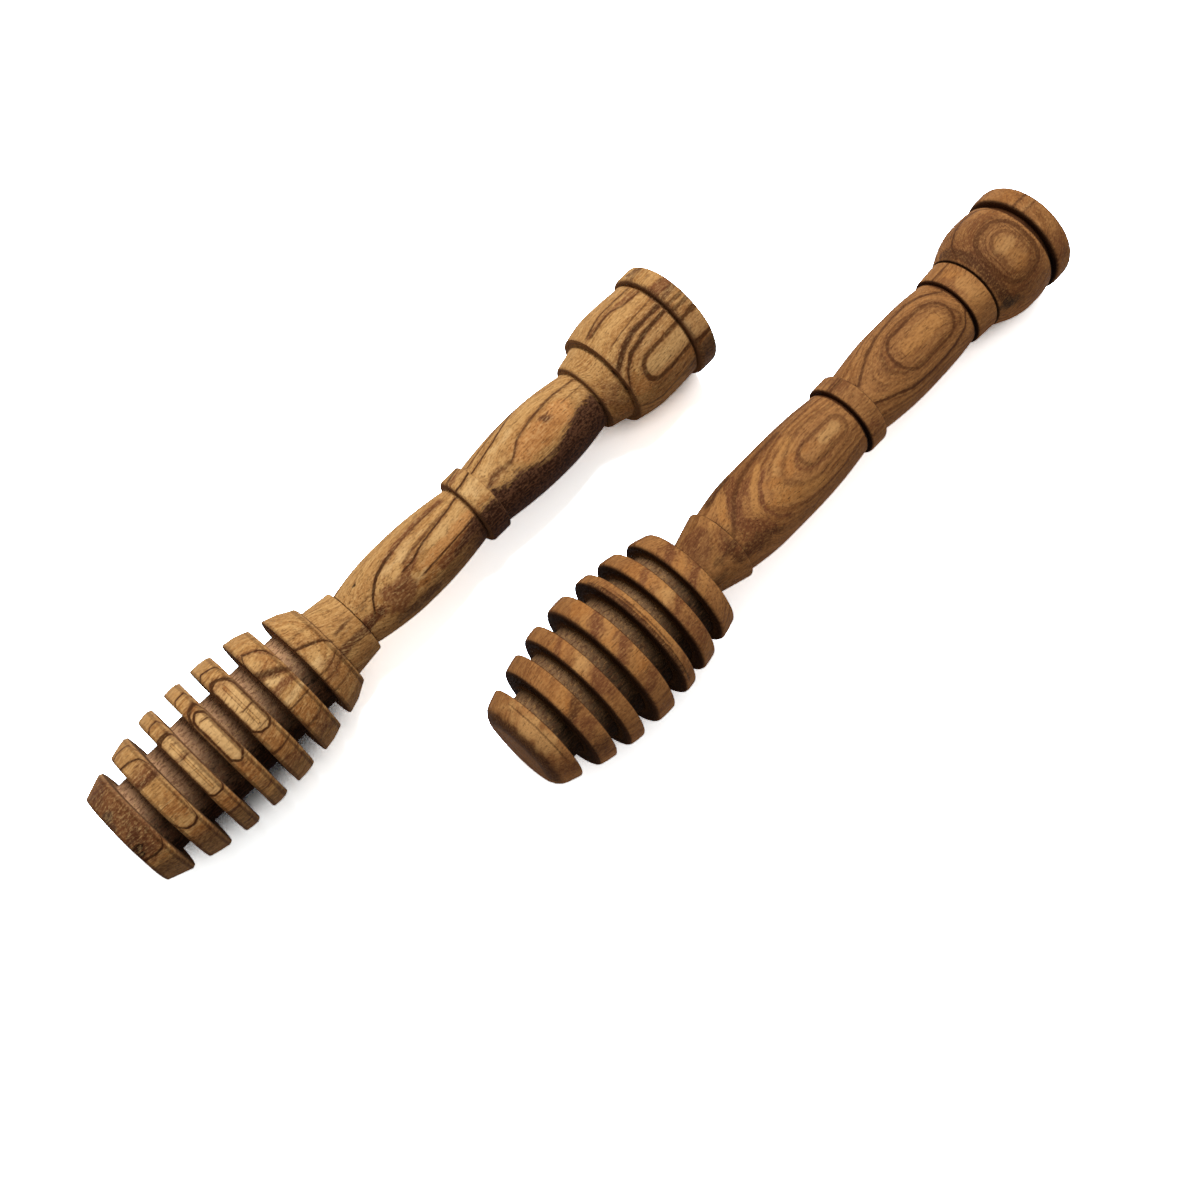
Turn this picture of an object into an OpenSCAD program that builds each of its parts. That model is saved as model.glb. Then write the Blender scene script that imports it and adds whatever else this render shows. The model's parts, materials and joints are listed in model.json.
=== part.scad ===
// Two hand-turned olive-wood honey dippers lying side by side on a table.
// Each is turned from one length of wood: a barrel-shaped head cut into discs by deep
// grooves, a neck, two long swells parted by a ring, a bead, and a knob with a rim.
// Sizes are in millimetres. X runs from the heads toward the knobs and Z is up.

/* [Pair on the table] */
// Distance between the two axes, taken at the pale dipper's head end
axis_gap = 43.8; // [34:0.1:90]
// How far the dark dipper lies ahead of the pale one
stagger = 64.4; // [-120:0.1:120]
// Turn of the pale dipper on the table against the dark one, in degrees
pale_turn = -0.27; // [-10:0.01:10]

/* [Pale dipper, head] */
// Width of each disc, from the head end to the collar
pale_disc_w = [5.7, 5.1, 3.6, 3.9, 4.9, 5.7, 6.5]; // [2.5:0.05:7.5]
// Width of each groove between the discs
pale_groove_w = [2.95, 3.25, 3.45, 2.85, 3.1, 3.0]; // [1.5:0.05:4.5]
// Diameter of the core at the bottom of each groove
pale_core_d = [17.6, 18.4, 20, 18.9, 18.9, 18.1]; // [12:0.1:21]
// Diameter at the widest point of the barrel that the discs are cut from
pale_barrel_d = 30.7; // [27:0.1:38]
// Distance of the widest point from the head end
pale_barrel_peak = 26.5; // [18:0.5:38]
// How full the barrel stays away from its widest point: 2 is a plain arc, 3 is fuller
pale_barrel_fullness = 2.4; // [1.5:0.1:3]
// Diameter of the flat end of the head
pale_face_d = 22.2; // [21.5:0.1:27]
// Diameter of the collar where it meets the neck
pale_collar_d = 20.7; // [18:0.1:27]
// Rounding of the disc edges
pale_disc_edge = 0.35; // [0:0.05:1]
// Width of the chamfer on the knob side of each disc
pale_disc_bevel_w = 0.8; // [0:0.05:1.2]
// How far that chamfer drops
pale_disc_bevel_drop = 0.35; // [0:0.05:1]

/* [Pale dipper, handle] */
// Length of the neck
pale_neck_l = 7.2; // [4:0.1:14]
// Diameter of the neck at the collar
pale_neck_d = 16.8; // [13:0.1:18]
// Diameter of the neck at the first swell
pale_neck_end_d = 15.2; // [13:0.1:18]
// Length of the first swell
pale_swell_l = 31.6; // [22:0.5:45]
// Diameter of the first swell where it leaves the neck
pale_swell_start_d = 12.8; // [10:0.1:15]
// Diameter of the first swell at its thickest
pale_swell_d = 16.1; // [13:0.1:20]
// Distance of its thickest point from the neck
pale_swell_peak = 13; // [6:0.5:18]
// Diameter of the first swell at the ring
pale_swell_end_d = 13.3; // [10:0.1:15]
// Width of the ring between the swells
pale_ring_l = 5.1; // [3:0.1:9]
// Diameter of the ring
pale_ring_d = 16.4; // [15.5:0.1:21]
// Rounding of the ring and the bead
pale_ring_edge = 0.9; // [0:0.05:1.4]
// Length of the second swell
pale_grip_l = 29.8; // [20:0.5:42]
// Diameter of the second swell at the ring
pale_grip_start_d = 14.6; // [11:0.1:15.5]
// Diameter of the second swell at its thickest
pale_grip_d = 16.9; // [14:0.1:20]
// Distance of its thickest point from the ring
pale_grip_peak = 15.5; // [8:0.5:19]
// Diameter of the second swell at the bead
pale_grip_end_d = 14.4; // [11:0.1:15.5]
// How full the swells stay toward the knob: 1 falls early, 3 falls late
pale_fullness = 1.25; // [0.8:0.05:3]

/* [Pale dipper, knob] */
// Length of the flared bead below the knob
pale_bead_l = 5.3; // [3:0.1:9]
// Diameter of the bead at the second swell
pale_bead_d = 16.7; // [15:0.1:20]
// Diameter of the bead at the knob
pale_bead_end_d = 19.2; // [16:0.1:21]
// Length of the knob
pale_knob_l = 16.5; // [10:0.1:24]
// Diameter of the knob at the bead
pale_knob_start_d = 22.6; // [18:0.1:24]
// Diameter of the knob at its widest
pale_knob_d = 24.9; // [21:0.1:28]
// Distance of its widest point from the bead
pale_knob_peak = 7.5; // [3:0.5:9]
// Diameter of the knob at the rim
pale_knob_end_d = 24.1; // [20:0.1:25]
// Width of the rim that ends the knob
pale_rim_l = 5.0; // [2:0.1:7]
// Diameter of the rim
pale_rim_d = 26.4; // [22:0.1:30]
// Rounding of the rim
pale_rim_edge = 1; // [0:0.05:1.4]
// Width of the groove in front of the rim
pale_rim_cut_w = 0.6; // [0.3:0.1:2]

/* [Dark dipper, head] */
// Width of each disc, from the head end to the collar
dark_disc_w = [5.65, 4.35, 3.75, 4.75, 2.9, 4.0, 4.7]; // [2.5:0.05:7.5]
// Width of each groove between the discs
dark_groove_w = [3.3, 2.95, 3.5, 3.6, 2.95, 3.15]; // [1.5:0.05:4.5]
// Diameter of the core at the bottom of each groove
dark_core_d = [16.8, 22.4, 23, 22.8, 22.4, 21]; // [12:0.1:23.5]
// Diameter at the widest point of the barrel that the discs are cut from
dark_barrel_d = 31.4; // [28:0.1:38]
// Distance of the widest point from the head end
dark_barrel_peak = 28; // [18:0.5:38]
// How full the barrel stays away from its widest point: 2 is a plain arc, 3 is fuller
dark_barrel_fullness = 2; // [1.5:0.1:3]
// Diameter that the barrel has at the head end
dark_face_d = 20.2; // [17.5:0.1:27]
// Diameter of the collar where it meets the neck
dark_collar_d = 24.7; // [18:0.1:28]
// Rounding of the head end into a dome
dark_nose = 4; // [0:0.1:5]
// Rounding of the disc edges on their head side
dark_disc_edge = 1.1; // [0:0.05:1.2]
// Rounding of the disc edges on their knob side
dark_disc_end_edge = 0.45; // [0:0.05:1.2]

/* [Dark dipper, handle] */
// Length of the flared neck
dark_neck_l = 10.1; // [6:0.1:16]
// Diameter of the neck at the collar
dark_neck_d = 11.9; // [10:0.1:16]
// Diameter of the neck at the first swell
dark_neck_end_d = 17.6; // [15:0.1:19]
// Rounding of the wide end of the neck
dark_neck_edge = 2.8; // [0:0.1:3]
// Length of the first swell
dark_swell_l = 37.1; // [24:0.5:48]
// Diameter of the first swell where it leaves the neck
dark_swell_start_d = 15.6; // [12:0.1:17]
// Diameter of the first swell at its thickest
dark_swell_d = 18.4; // [15:0.1:22]
// Distance of its thickest point from the neck
dark_swell_peak = 11.5; // [6:0.5:20]
// Diameter of the first swell at the ring
dark_swell_end_d = 16.1; // [12:0.1:17]
// Width of the ring between the swells
dark_ring_l = 4.7; // [3:0.1:9]
// Diameter of the ring
dark_ring_d = 17.9; // [16:0.1:22]
// Rounding of the ring and the bead
dark_ring_edge = 1.2; // [0:0.05:1.5]
// Length of the second swell
dark_grip_l = 30.2; // [20:0.5:42]
// Diameter of the second swell at the ring
dark_grip_start_d = 15.3; // [11:0.1:16.5]
// Diameter of the second swell at its thickest
dark_grip_d = 17.9; // [14:0.1:22]
// Distance of its thickest point from the ring
dark_grip_peak = 15; // [8:0.5:19]
// Diameter of the second swell at the bead
dark_grip_end_d = 16.3; // [11:0.1:17]
// How full the swells stay toward the knob: 1 falls early, 3 falls late
dark_fullness = 2; // [0.8:0.1:3]

/* [Dark dipper, knob] */
// Length of the bead below the knob
dark_bead_l = 5.8; // [3:0.1:9]
// Diameter of the bead at the second swell
dark_bead_d = 17.6; // [16:0.1:21]
// Diameter of the bead at the knob
dark_bead_end_d = 18.2; // [16:0.1:21]
// Length of the ball-shaped knob
dark_knob_l = 14.9; // [10:0.1:24]
// Diameter of the knob at the bead
dark_knob_start_d = 18.3; // [17:0.1:22]
// Diameter of the knob at its widest
dark_knob_d = 24.1; // [20:0.1:28]
// Distance of its widest point from the bead
dark_knob_peak = 9; // [5:0.5:9.5]
// Diameter of the knob at the rim
dark_knob_end_d = 23.1; // [19:0.1:25]
// Width of the rim that ends the knob
dark_rim_l = 5.6; // [2:0.1:8]
// Diameter of the rim
dark_rim_d = 24.5; // [22:0.1:30]
// Rounding of the rim
dark_rim_edge = 1.9; // [0:0.05:2]
// Width of the groove in front of the rim
dark_rim_cut_w = 1.4; // [0.3:0.1:2.5]

/* [Lines cut between the turned forms] */
// Width of the thin lines burnt in with a wire
line_w = 0.5; // [0.2:0.05:1]
// Depth of the thin lines below the surface beside them
line_depth = 0.6; // [0.1:0.1:1.5]
// Depth of the groove in front of each rim
rim_cut_depth = 1.2; // [0.3:0.1:2.5]
// Rounding at the bottom of the grooves between the discs
groove_foot = 0.25; // [0:0.05:0.6]

/* [Hidden] */
swell_steps = 16;    // straight pieces in each swell's curve
corner_steps = 4;    // straight pieces in each rounded corner
corner_share = 0.45; // most of a side that one corner's rounding may take
turn_fn = 96;

function sum(list, count) = count <= 0 ? 0 : list[count - 1] + sum(list, count - 1);

// Radius at x of the barrel that a head's discs are cut from: one arc rises from the
// end face to the widest point, and another falls to the collar.
function barrel_r(x, face_d, barrel_d, collar_d, peak, fullness, head_l) =
    x < peak
        ? barrel_d / 2 - (barrel_d - face_d) / 2 * pow((peak - x) / peak, fullness)
        : barrel_d / 2 - (barrel_d - collar_d) / 2 * pow((x - peak) / (head_l - peak), fullness);

// A turned form is [length, function of its start x]. The function gives corners
// [x, radius, rounding] from the head side to the knob side.
function head(disc_w, groove_w, core_d, face_d, barrel_d, collar_d, peak, fullness, nose,
    edge, end_edge, bevel_w, bevel_drop) =
    let (count = len(disc_w), head_l = sum(disc_w, count) + sum(groove_w, count - 1))
    [head_l, function (x0) [
        for (i = [0 : count - 1])
            let (
                a = sum(disc_w, i) + sum(groove_w, i),
                b = a + disc_w[i],
                a_r = barrel_r(a, face_d, barrel_d, collar_d, peak, fullness, head_l),
                b_r = barrel_r(b, face_d, barrel_d, collar_d, peak, fullness, head_l)
            )
            each [
                if (i > 0) [x0 + a, core_d[i - 1] / 2, groove_foot],
                [x0 + a, a_r, i == 0 ? nose : edge],
                if (bevel_w > 0) [x0 + b - bevel_w, b_r, end_edge],
                [x0 + b, b_r - bevel_drop, end_edge],
                if (i < count - 1) [x0 + b, core_d[i] / 2, groove_foot]
            ]
    ]];

function band(l, start_d, end_d, start_edge, end_edge) = [l, function (x0) [
    [x0, start_d / 2, start_edge],
    [x0 + l, end_d / 2, end_edge]
]];

// A swell rises as a quarter sine to its thickest point and falls as a quarter cosine.
function swell_r(s, l, start_d, peak_d, end_d, peak, fullness) =
    s < peak
        ? (start_d + (peak_d - start_d) * sin(90 * s / peak)) / 2
        : (end_d + (peak_d - end_d) * cos(90 * pow((s - peak) / (l - peak), fullness))) / 2;

function swell(l, start_d, peak_d, end_d, peak, fullness) = [l, function (x0) [
    for (k = [0 : swell_steps])
        let (
            half = swell_steps / 2,
            s = k <= half ? peak * k / half : peak + (l - peak) * (k - half) / half
        )
        [x0 + s, swell_r(s, l, start_d, peak_d, end_d, peak, fullness), 0]
]];

// A square-bottomed cut between two forms, below the smaller of their diameters
function cut(w, depth, left_d, right_d) = let (r = min(left_d, right_d) / 2 - depth)
    [w, function (x0) [[x0, r, 0], [x0 + w, r, 0]]];

function line(left_d, right_d) = cut(line_w, line_depth, left_d, right_d);

function total_l(forms, count) = sum([for (form = forms) form[0]], count);

function corners(forms) = [
    [0, 0, 0],
    for (i = [0 : len(forms) - 1])
        let (make = forms[i][1])
        each make(total_l(forms, i)),
    [total_l(forms, len(forms)), 0, 0]
];

// The points of an arc that rounds corner b between its neighbours a and c
function rounded(a, b, c, radius) =
    let (
        to_a = (a - b) / norm(a - b),
        to_c = (c - b) / norm(c - b),
        half = acos(max(-1, min(1, to_a * to_c))) / 2,
        reach = min(radius / tan(half), corner_share * min(norm(a - b), norm(c - b))),
        arc_r = reach * tan(half),
        across = (to_a + to_c) / norm(to_a + to_c),
        centre = b + across * arc_r / sin(half),
        from = b + to_a * reach - centre,
        to = b + to_c * reach - centre,
        from_angle = atan2(from[1], from[0]),
        turn = atan2(from[0] * to[1] - from[1] * to[0], from * to)
    )
    [for (k = [0 : corner_steps])
        let (angle = from_angle + turn * k / corner_steps)
        centre + arc_r * [cos(angle), sin(angle)]];

function flat(corner) = [corner[0], corner[1]];

function outline(list) = [
    for (i = [0 : len(list) - 1])
        each list[i][2] > 0
            ? rounded(flat(list[i - 1]), flat(list[i]), flat(list[i + 1]), list[i][2])
            : [flat(list[i])]
];

pale_outline = outline(corners([
    head(pale_disc_w, pale_groove_w, pale_core_d, pale_face_d, pale_barrel_d,
        pale_collar_d, pale_barrel_peak, pale_barrel_fullness, pale_disc_edge,
        pale_disc_edge, pale_disc_edge, pale_disc_bevel_w, pale_disc_bevel_drop),
    band(pale_neck_l, pale_neck_d, pale_neck_end_d, 0, pale_disc_edge),
    swell(pale_swell_l, pale_swell_start_d, pale_swell_d, pale_swell_end_d,
        pale_swell_peak, pale_fullness),
    line(pale_swell_end_d, pale_ring_d),
    band(pale_ring_l, pale_ring_d, pale_ring_d, pale_ring_edge, pale_ring_edge),
    swell(pale_grip_l, pale_grip_start_d, pale_grip_d, pale_grip_end_d,
        pale_grip_peak, pale_fullness),
    line(pale_grip_end_d, pale_bead_d),
    band(pale_bead_l, pale_bead_d, pale_bead_end_d, pale_ring_edge, pale_disc_edge),
    line(pale_bead_end_d, pale_knob_start_d),
    swell(pale_knob_l, pale_knob_start_d, pale_knob_d, pale_knob_end_d,
        pale_knob_peak, pale_fullness),
    cut(pale_rim_cut_w, rim_cut_depth, pale_knob_end_d, pale_rim_d),
    band(pale_rim_l, pale_rim_d, pale_rim_d, pale_rim_edge, pale_rim_edge)
]));

dark_outline = outline(corners([
    head(dark_disc_w, dark_groove_w, dark_core_d, dark_face_d, dark_barrel_d,
        dark_collar_d, dark_barrel_peak, dark_barrel_fullness, dark_nose,
        dark_disc_edge, dark_disc_end_edge, 0, 0),
    band(dark_neck_l, dark_neck_d, dark_neck_end_d, 0, dark_neck_edge),
    swell(dark_swell_l, dark_swell_start_d, dark_swell_d, dark_swell_end_d,
        dark_swell_peak, dark_fullness),
    line(dark_swell_end_d, dark_ring_d),
    band(dark_ring_l, dark_ring_d, dark_ring_d, dark_ring_edge, dark_ring_edge),
    swell(dark_grip_l, dark_grip_start_d, dark_grip_d, dark_grip_end_d,
        dark_grip_peak, dark_fullness),
    line(dark_grip_end_d, dark_bead_d),
    band(dark_bead_l, dark_bead_d, dark_bead_end_d, dark_ring_edge, dark_ring_edge),
    line(dark_bead_end_d, dark_knob_start_d),
    swell(dark_knob_l, dark_knob_start_d, dark_knob_d, dark_knob_end_d,
        dark_knob_peak, dark_fullness),
    cut(dark_rim_cut_w, rim_cut_depth, dark_knob_end_d, dark_rim_d),
    band(dark_rim_l, dark_rim_d, dark_rim_d, dark_rim_edge, dark_rim_edge)
]));

// Place along its axis where a turned piece balances
function balance_x(points) =
    let (slices = [for (i = [1 : len(points) - 1])
        let (r = (points[i][1] + points[i - 1][1]) / 2)
        r * r * (points[i][0] - points[i - 1][0])])
    sum([for (i = [1 : len(points) - 1]) slices[i - 1] * (points[i][0] + points[i - 1][0]) / 2],
        len(slices)) / sum(slices, len(slices));

// Two points of the outline that touch the table when the piece lies down: of all pairs
// on either side of the balance point, the pair whose chord is furthest from the axis
function contact_pair(points) =
    let (
        middle = balance_x(points),
        pairs = [for (a = points) if (a[0] < middle) for (b = points) if (b[0] > middle)
            [a[1] + (b[1] - a[1]) * (middle - a[0]) / (b[0] - a[0]), a, b]],
        reach = max([for (pair = pairs) pair[0]])
    )
    [for (pair = pairs) if (pair[0] == reach) pair][0];

function lying_angle(points) = let (pair = contact_pair(points))
    atan2(pair[1][1] - pair[2][1], pair[2][0] - pair[1][0]);

function head_height(points) = let (pair = contact_pair(points), angle = lying_angle(points))
    pair[1][0] * sin(angle) + pair[1][1] * cos(angle);

// Direction of a lying piece's axis, from its head to its knob
function axis_of(points, turn) = let (angle = lying_angle(points))
    [cos(angle) * cos(turn), cos(angle) * sin(turn), -sin(angle)];

// How far a lying piece reaches from its head end in a direction that makes an angle with
// its axis; share is that angle's cosine
function reach(points, share) =
    max([for (p = points) p[0] * share + p[1] * sqrt(1 - share * share)]);

pale_axis = axis_of(pale_outline, pale_turn);
dark_axis = axis_of(dark_outline, 0);

// The origin lies under the middle of the pair, on the table
pair_low_x = min(-reach(pale_outline, -pale_axis[0]), stagger - reach(dark_outline, -dark_axis[0]));
pair_high_x = max(reach(pale_outline, pale_axis[0]), stagger + reach(dark_outline, dark_axis[0]));
pair_low_y = -axis_gap - reach(dark_outline, -dark_axis[1]);
pair_high_y = reach(pale_outline, pale_axis[1]);
pale_x = -(pair_low_x + pair_high_x) / 2;
pale_y = -(pair_low_y + pair_high_y) / 2;
dark_x = pale_x + stagger;
dark_y = pale_y - axis_gap;

// Turns an outline on the lathe and lays it on the table, its head end at x and y
module turned_and_laid(points, x, y, turn)
    translate([x, y, head_height(points)])
        rotate([0, 90 + lying_angle(points), turn])
            rotate_extrude($fn = turn_fn)
                polygon([for (p = points) [p[1], p[0]]]);

module pale_dipper() color([0.76, 0.58, 0.36])
    turned_and_laid(pale_outline, pale_x, pale_y, pale_turn);

module dark_dipper() color([0.55, 0.36, 0.21])
    turned_and_laid(dark_outline, dark_x, dark_y, 0);

pale_dipper();
dark_dipper();
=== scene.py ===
import json
import math
from functools import reduce

import bpy
import numpy as np
from mathutils import Matrix, Vector


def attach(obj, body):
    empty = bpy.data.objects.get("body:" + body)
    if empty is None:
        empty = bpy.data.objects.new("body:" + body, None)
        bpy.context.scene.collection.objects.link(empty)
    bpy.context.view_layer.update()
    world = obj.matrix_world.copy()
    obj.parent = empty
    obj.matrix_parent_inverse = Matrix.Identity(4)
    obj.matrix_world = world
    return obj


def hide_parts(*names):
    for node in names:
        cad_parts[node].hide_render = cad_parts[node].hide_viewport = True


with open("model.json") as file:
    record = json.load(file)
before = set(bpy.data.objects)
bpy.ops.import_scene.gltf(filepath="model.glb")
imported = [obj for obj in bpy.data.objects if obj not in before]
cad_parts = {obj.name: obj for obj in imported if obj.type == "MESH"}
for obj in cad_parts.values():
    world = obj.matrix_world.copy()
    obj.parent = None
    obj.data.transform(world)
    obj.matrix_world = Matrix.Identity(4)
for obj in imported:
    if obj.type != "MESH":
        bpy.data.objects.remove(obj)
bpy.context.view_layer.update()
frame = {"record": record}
mounts = {mount["name"]: mount["pos_m"] for mount in frame["record"]["mounts"]}
mm = 0.001

stage = {
    "lens": 48.0,
    "sensor": 36.0,
    "clipStart": 0.01,  # m
    "cameraFromHead": (31.08, -96.51, 311.07),  # mm from the pale dipper's head end
    "cameraTurn": (16.5, 0.0, -46.94),  # degrees
    "floorSize": 2400,  # mm
    "floorGlow": 0.05,  # light that the floor adds for the camera
    "floorColour": (6.3, 7.2, 8.0, 1),  # as the camera sees it, so that only deep shadow shows
    "floorColourMirrored": (0.85, 0.85, 0.85, 1),
    "floorColourForLight": (0.54, 0.48, 0.42, 1),
    "paintedShadowReach": 9,  # mm from a dipper within which a contact shadow is painted on the table
    "paintedShadowOpenness": (0.28, 0.6),  # where the painted shadow is darkest and where it ends
    "paintedShadowSamples": 8,
    "paintedShadowColour": (0.02, 0.015, 0.01, 1),
    "keyFrom": (290, 400, 980),  # mm
    "keySize": 560,
    "keyWatts": 13.4,
    "skyLight": 0.255,
    "skyColour": (1.0, 0.92, 0.84, 1),
}

# Lengths are in millimetres along the axis from the head end. Diameters are full widths.
paleForm = {
    "discWidths": [5.7, 5.1, 3.6, 3.9, 4.9, 5.7, 6.5],
    "grooveWidths": [2.95, 3.25, 3.45, 2.85, 3.1, 3.0],
    "coreDiameters": [17.6, 18.4, 20, 18.9, 18.9, 18.1],
    "barrel": 30.7,
    "barrelPeak": 26.5,
    "barrelFullness": 2.4,
    "face": 22.2,
    "collar": 20.7,
    "nose": 0.4,
    "discEdges": (0.3, 0.3),  # rounding on the head side and on the knob side
    "discBevels": [(0.3, 0.2), (0.8, 0.35)],  # (width, drop) on the same sides
    "crown": 0.16,
    "neck": {"length": 7.2, "start": 16.8, "end": 15.2, "roundings": (0, 0.35)},
    "swell": {"length": 31.6, "start": 12.8, "widest": 16.1, "end": 13.3, "peak": 13},
    "ring": {"length": 5.1, "start": 16.4, "end": 16.4, "roundings": (0.9, 0.9)},
    "grip": {"length": 29.8, "start": 14.6, "widest": 16.9, "end": 14.4, "peak": 15.5},
    "bead": {"length": 5.3, "start": 16.7, "end": 19.2, "roundings": (0.9, 0.35)},
    "knob": {"length": 16.5, "start": 22.6, "widest": 24.9, "end": 24.1, "peak": 7.5},
    "rimCut": 0.6,
    "rim": {"length": 5.0, "start": 26.4, "end": 26.4, "roundings": (1.0, 1.0)},
    "lineDepth": 0.3,
    "rimCutDepth": 0.8,
    "fullness": 1.25,
}
darkForm = {
    "discWidths": [5.65, 4.35, 3.75, 4.75, 2.9, 4.0, 4.7],
    "grooveWidths": [3.3, 2.95, 3.5, 3.6, 2.95, 3.15],
    "coreDiameters": [16.8, 22.4, 23, 22.8, 22.4, 21],
    "barrel": 31.4,
    "barrelPeak": 28,
    "barrelFullness": 2,
    "face": 20.2,
    "collar": 24.7,
    "nose": 4.0,
    "discEdges": (1.1, 0.45),
    "discBevels": [(0, 0), (0, 0)],
    "crown": 0.12,
    "neck": {"length": 10.1, "start": 11.9, "end": 17.6, "roundings": (0, 2.8)},
    "swell": {"length": 37.1, "start": 15.6, "widest": 18.4, "end": 16.1, "peak": 11.5},
    "ring": {"length": 4.7, "start": 17.9, "end": 17.9, "roundings": (1.2, 1.2)},
    "grip": {"length": 30.2, "start": 15.3, "widest": 17.9, "end": 16.3, "peak": 15},
    "bead": {"length": 5.8, "start": 17.6, "end": 18.2, "roundings": (1.2, 1.2)},
    "knob": {"length": 14.9, "start": 18.3, "widest": 24.1, "end": 23.1, "peak": 9},
    "rimCut": 1.4,
    "rim": {"length": 5.6, "start": 24.5, "end": 24.5, "roundings": (1.9, 1.9)},
    "lineDepth": 0.55,
    "rimCutDepth": 1.2,
    "fullness": 2,
}
lathe = {
    "lineWidth": 0.5,  # thin lines burnt in with a wire
    "grooveFoot": 0.25,
    "turns": 168,
    "longStep": 0.7,  # longest straight piece of an outline
    "wallStep": 1.0,
    "swellSteps": 24,
    "cornerSteps": 4,
    "cornerShare": 0.45,  # of an edge, at most, that a rounding takes up
    "flatCorner": 88,  # degrees in half a corner from which it stays as it is
    "weld": 0.004,
    "crease": 38,  # degrees
    "unevenSize": 17,
    "unevenDepth": 0.34,
}
# what finishing and use leave on the forms, and where painted shade and a painted highlight go on them
wear = {
    "touch": 0.01,  # mm within which a point counts as on a face
    "wallRange": 0.3,  # change of the normal over which end grain and its painted shade come in
    "noseWall": 0.25,  # share of end grain and its painted shade at the head end
    "noseReach": 4,  # mm in which that share grows by one
    "coreFull": 1.15,  # share on the core of a groove
    "coreReach": 1.2,  # mm up the walls in which it falls by one
    "lineSoft": 0.15,  # mm
    "topDepth": 1.2,  # mm of a disc's edge that belong to its top
    "edgeWidth": 0.38,  # mm
    "bevelRise": 0.4,  # share of a bevel's width
}
# how soft the drawn figure is
drawing = {
    "veinEnd": 0.6,  # mm over which a vein comes in at its ends
    "veinFull": 0.75,  # how much of it is there at the very end
    "veinOverlap": 0.5,  # mm
    "farthest": 9,  # widths of a vein
    "smallCorner": 1.5,  # mm, below which the corners of a loop are cut off
    "spotBend": (0.3, 0.4),  # along and across, in half lengths and half widths
    "spotEdge": (1.35, 1.25),  # steepness, and where it ends, in half widths
    "strokeBend": (0.12, 0.2),
    "strokeEdge": (1.6, 1.3),
    "heartReach": 4,  # mm
    "faceDepth": 0.3,  # mm from a flat end that belong to it
    "faceRim": 2.2,  # mm that the figure reaches over it
    "faceSoft": 1.4,  # mm
}


def barrelRadius(form, along, headLength):
    # one arc rises from the end face to the widest point, another falls to the collar
    peak = form["barrelPeak"]
    widest = form["barrel"] / 2
    if along < peak:
        return widest - (widest - form["face"] / 2) * ((peak - along) / peak) ** form["barrelFullness"]
    share = (along - peak) / (headLength - peak)
    return widest - (widest - form["collar"] / 2) * share ** form["barrelFullness"]


def swellRadius(part, along, fullness):
    # a quarter sine up to the thickest point and a quarter cosine down
    start, widest, end = part["start"] / 2, part["widest"] / 2, part["end"] / 2
    if along < part["peak"]:
        return start + (widest - start) * math.sin(math.pi / 2 * along / part["peak"])
    share = (along - part["peak"]) / (part["length"] - part["peak"])
    return end + (widest - end) * math.cos(math.pi / 2 * share**fullness)


def cornersOf(form):
    # corners as (along, radius, rounding), and the marks that the finish needs
    corners = [(0, 0, 0)]
    marks = {"cores": [], "lines": [], "discs": []}
    widths, grooves = form["discWidths"], form["grooveWidths"]
    headLength = sum(widths) + sum(grooves)
    foot = lathe["grooveFoot"]
    (bevelIn, dropIn), (bevelOut, dropOut) = form["discBevels"]
    edgeIn, edgeOut = form["discEdges"]
    at = 0
    for index, width in enumerate(widths):
        end = at + width
        if index > 0:
            corners.append((at, form["coreDiameters"][index - 1] / 2, foot))
        startRadius = barrelRadius(form, at, headLength)
        endRadius = barrelRadius(form, end, headLength)
        if index == 0:
            corners.append((at, startRadius, form["nose"]))
        elif bevelIn == 0:
            corners.append((at, startRadius, edgeIn))
        else:
            corners.append((at, startRadius - dropIn, edgeIn))
            corners.append((at + bevelIn, startRadius, edgeIn))
        if index > 0 or form["nose"] < 1:
            middle = barrelRadius(form, at + width / 2, headLength) + form["crown"] / 2
            corners.append((at + width / 2, middle, 0))
        if bevelOut == 0:
            corners.append((end, endRadius, edgeOut))
        else:
            corners.append((end - bevelOut, endRadius, edgeOut))
            corners.append((end, endRadius - dropOut, edgeOut))
        marks["discs"].append((at, end, min(startRadius, endRadius)))
        if index < len(grooves):
            coreRadius = form["coreDiameters"][index] / 2
            corners.append((end, coreRadius, foot))
            marks["cores"].append((end, end + grooves[index], coreRadius))
            at = end + grooves[index]
        else:
            at = end

    line = (lathe["lineWidth"], form["lineDepth"])
    cuts = {"ring": line, "bead": line, "knob": line, "rim": (form["rimCut"], form["rimCutDepth"])}
    half = lathe["swellSteps"] / 2
    for name in ("neck", "swell", "ring", "grip", "bead", "knob", "rim"):
        part = form[name]
        if name in cuts:
            width, depth = cuts[name]
            radius = min(lastEnd, part["start"]) / 2 - depth
            corners += [(at, radius, 0), (at + width, radius, 0)]
            marks["lines"].append((at, at + width))
            at += width
        if "widest" in part:
            for step in range(lathe["swellSteps"] + 1):
                share = part["peak"] * step / half
                if step > half:
                    share = part["peak"] + (part["length"] - part["peak"]) * (step - half) / half
                corners.append((at + share, swellRadius(part, share, form["fullness"]), 0))
        else:
            firstRounding, lastRounding = part["roundings"]
            corners.append((at, part["start"] / 2, firstRounding))
            corners.append((at + part["length"], part["end"] / 2, lastRounding))
        at += part["length"]
        lastEnd = part["end"]
    corners.append((at, 0, 0))
    marks["length"] = at
    return corners, marks


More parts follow.
